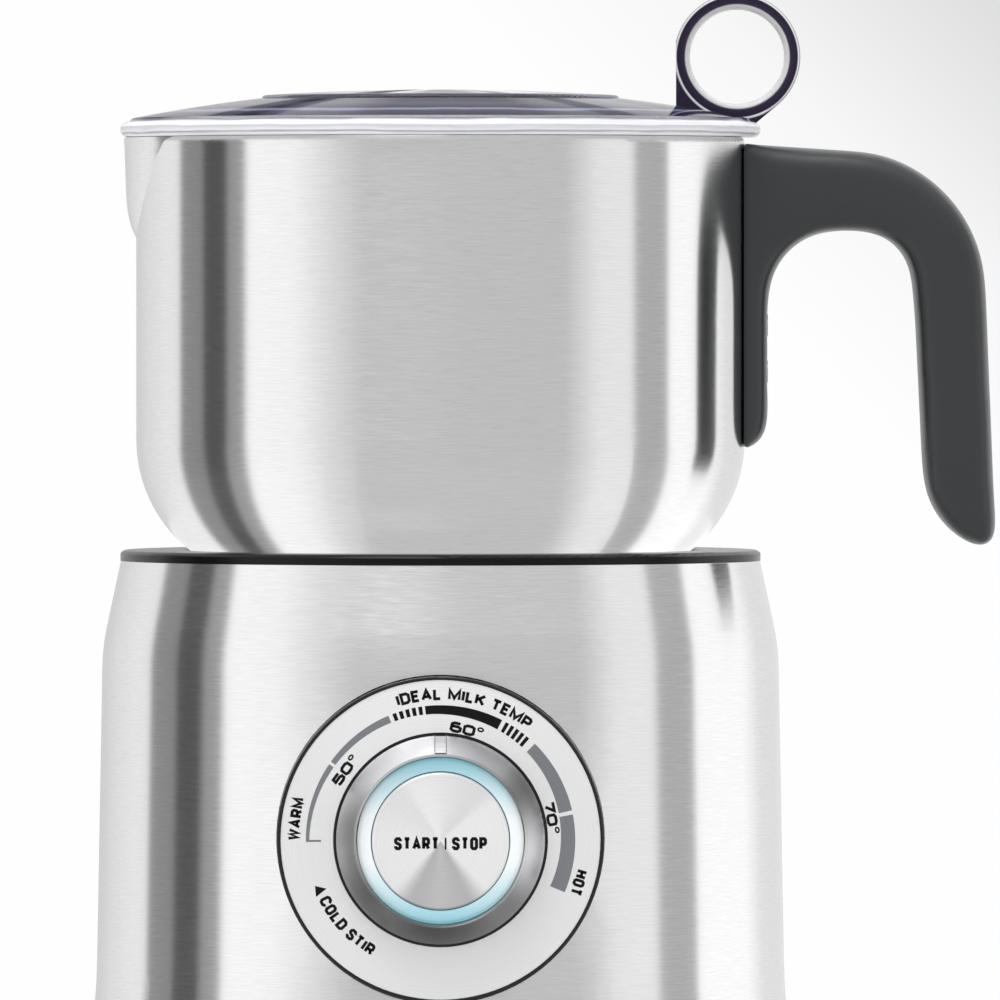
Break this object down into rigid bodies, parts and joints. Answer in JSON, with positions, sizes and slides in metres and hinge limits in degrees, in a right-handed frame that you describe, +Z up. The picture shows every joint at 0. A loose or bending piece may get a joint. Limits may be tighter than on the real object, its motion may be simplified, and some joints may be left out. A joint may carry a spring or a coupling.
{
  "type": "milk frother",
  "caption": "Steel frothing jug with clear lid and side handle on a round induction base with a front dial and push button.",
  "frame": {"origin": "on the base's axis, at the level of the feet's floor", "axes": "+Z up, dial faces -Y, spout towards -X, handle towards +X"},
  "size_m": [0.1795, 0.1481, 0.2204],
  "materials": {
    "brushed_steel": "fine horizontal brushing",
    "bright_steel": "turned and lightly brushed",
    "zinc_steel": "zinc plated",
    "black_moulding": "fine texture",
    "grey_moulding": "plain moulded",
    "soft_touch": "soft satin",
    "clear_plastic": "clear, faint violet tint",
    "light_guide": "frosted translucent",
    "foot_rubber": "matt",
    "grey_silicone": "matt",
    "copper_wire": "lacquered winding wire",
    "mica": "pressed sheet",
    "ferrite": "sintered",
    "aluminium": "extruded",
    "circuit_board": "lacquered glass-fibre board",
    "component_black": "epoxy",
    "component_blue": "shrink sleeve",
    "component_red": "dipped box",
    "magnet": "nickel plated",
    "white_led": "clear epoxy",
    "acetal": "natural acetal"
  },
  "bodies": {
    "base": {"outer_shell": "brushed_steel", "top_deck": "black_moulding", "base_pan": "black_moulding", "foot_1": "foot_rubber", "foot_2": "foot_rubber", "foot_3": "foot_rubber", "foot_4": "foot_rubber", "pan_screws": "zinc_steel", "cord_bush": "foot_rubber", "mica_sheet": "mica", "induction_coil": "copper_wire", "coil_carrier": "grey_moulding", "carrier_screws": "zinc_steel", "ferrite_bars": "ferrite", "sensor_holder": "grey_moulding", "sensor_spring": "bright_steel", "motor_can": "zinc_steel", "motor_bracket": "zinc_steel", "motor_grommets": "foot_rubber", "bracket_screws": "zinc_steel", "fan_frame": "black_moulding", "fan_screws": "zinc_steel", "main_board": "circuit_board", "board_screws": "zinc_steel", "heat_sink": "aluminium", "power_transistor": "component_black", "film_capacitor": "component_red", "bulk_capacitor": "component_blue", "filter_choke": "copper_wire", "dial_housing": "black_moulding", "dial_plate": "bright_steel", "control_board": "circuit_board", "leds": "white_led", "tact_switch": "component_black", "encoder_body": "component_blue", "light_ring": "light_guide", "button_guide": "black_moulding"},
    "jug": {"jug_body": "brushed_steel", "jug_base_plate": "zinc_steel", "drive_post": "bright_steel", "handle": "soft_touch", "handle_bracket": "bright_steel", "handle_screws": "zinc_steel"},
    "lid": {"lid": "clear_plastic", "lid_seal": "grey_silicone", "finger_ring": "clear_plastic"},
    "cap": {"measuring_cap": "clear_plastic"},
    "disc": {"frothing_disc": "grey_moulding", "disc_magnets": "magnet", "hub_cap": "grey_moulding"},
    "rotor": {"motor_shaft": "bright_steel", "magnet_carrier": "grey_moulding", "drive_magnets": "magnet"},
    "fan": {"fan_rotor": "black_moulding"},
    "knob": {"knob_ring": "bright_steel", "knob_sleeve": "acetal"},
    "pinion": {"encoder_pinion": "acetal"},
    "button": {"start_button": "bright_steel"},
    "sensor": {"sensor_cap": "aluminium"}
  },
  "joints": [
    {"name": "jug_lift", "type": "slide", "parent": "base", "child": "jug", "axis": [0, 0, 1], "range_m": [0, 0.12]},
    {"name": "lid_lift", "type": "slide", "parent": "jug", "child": "lid", "axis": [0, 0, 1], "range_m": [0, 0.06]},
    {"name": "cap_lift", "type": "slide", "parent": "lid", "child": "cap", "axis": [0, 0, 1], "range_m": [0, 0.03]},
    {"name": "disc_spin", "type": "hinge", "parent": "jug", "child": "disc", "pos_m": [0, 0, 0.11], "axis": [0, 0, 1], "continuous": true},
    {"name": "motor_spin", "type": "hinge", "parent": "base", "child": "rotor", "pos_m": [0, 0, 0.095], "axis": [0, 0, 1], "continuous": true},
    {"name": "fan_spin", "type": "hinge", "parent": "base", "child": "fan", "pos_m": [0, 0, 0.012], "axis": [0, 0, 1], "continuous": true},
    {"name": "knob_turn", "type": "hinge", "parent": "base", "child": "knob", "pos_m": [0, -0.0666, 0.0577], "axis": [0, 1, 0], "range_deg": [-114, 113]},
    {"name": "encoder_turn", "type": "hinge", "parent": "base", "child": "pinion", "pos_m": [-0.01633, -0.0576, 0.04137], "axis": [0, 1, 0], "range_deg": [-390, 390]},
    {"name": "button_press", "type": "slide", "parent": "base", "child": "button", "axis": [0, 1, 0], "range_m": [0, 0.0012], "stiffness_N_per_m": 2500},
    {"name": "sensor_dip", "type": "slide", "parent": "base", "child": "sensor", "axis": [0, 0, 1], "range_m": [-0.0008, 0], "stiffness_N_per_m": 600, "deforming": ["sensor_spring"]}
  ],
  "couplings": [
    {"joint": "disc_spin", "follows": "motor_spin", "ratio": 1},
    {"joint": "encoder_turn", "follows": "knob_turn", "ratio": -3.4}
  ]
}
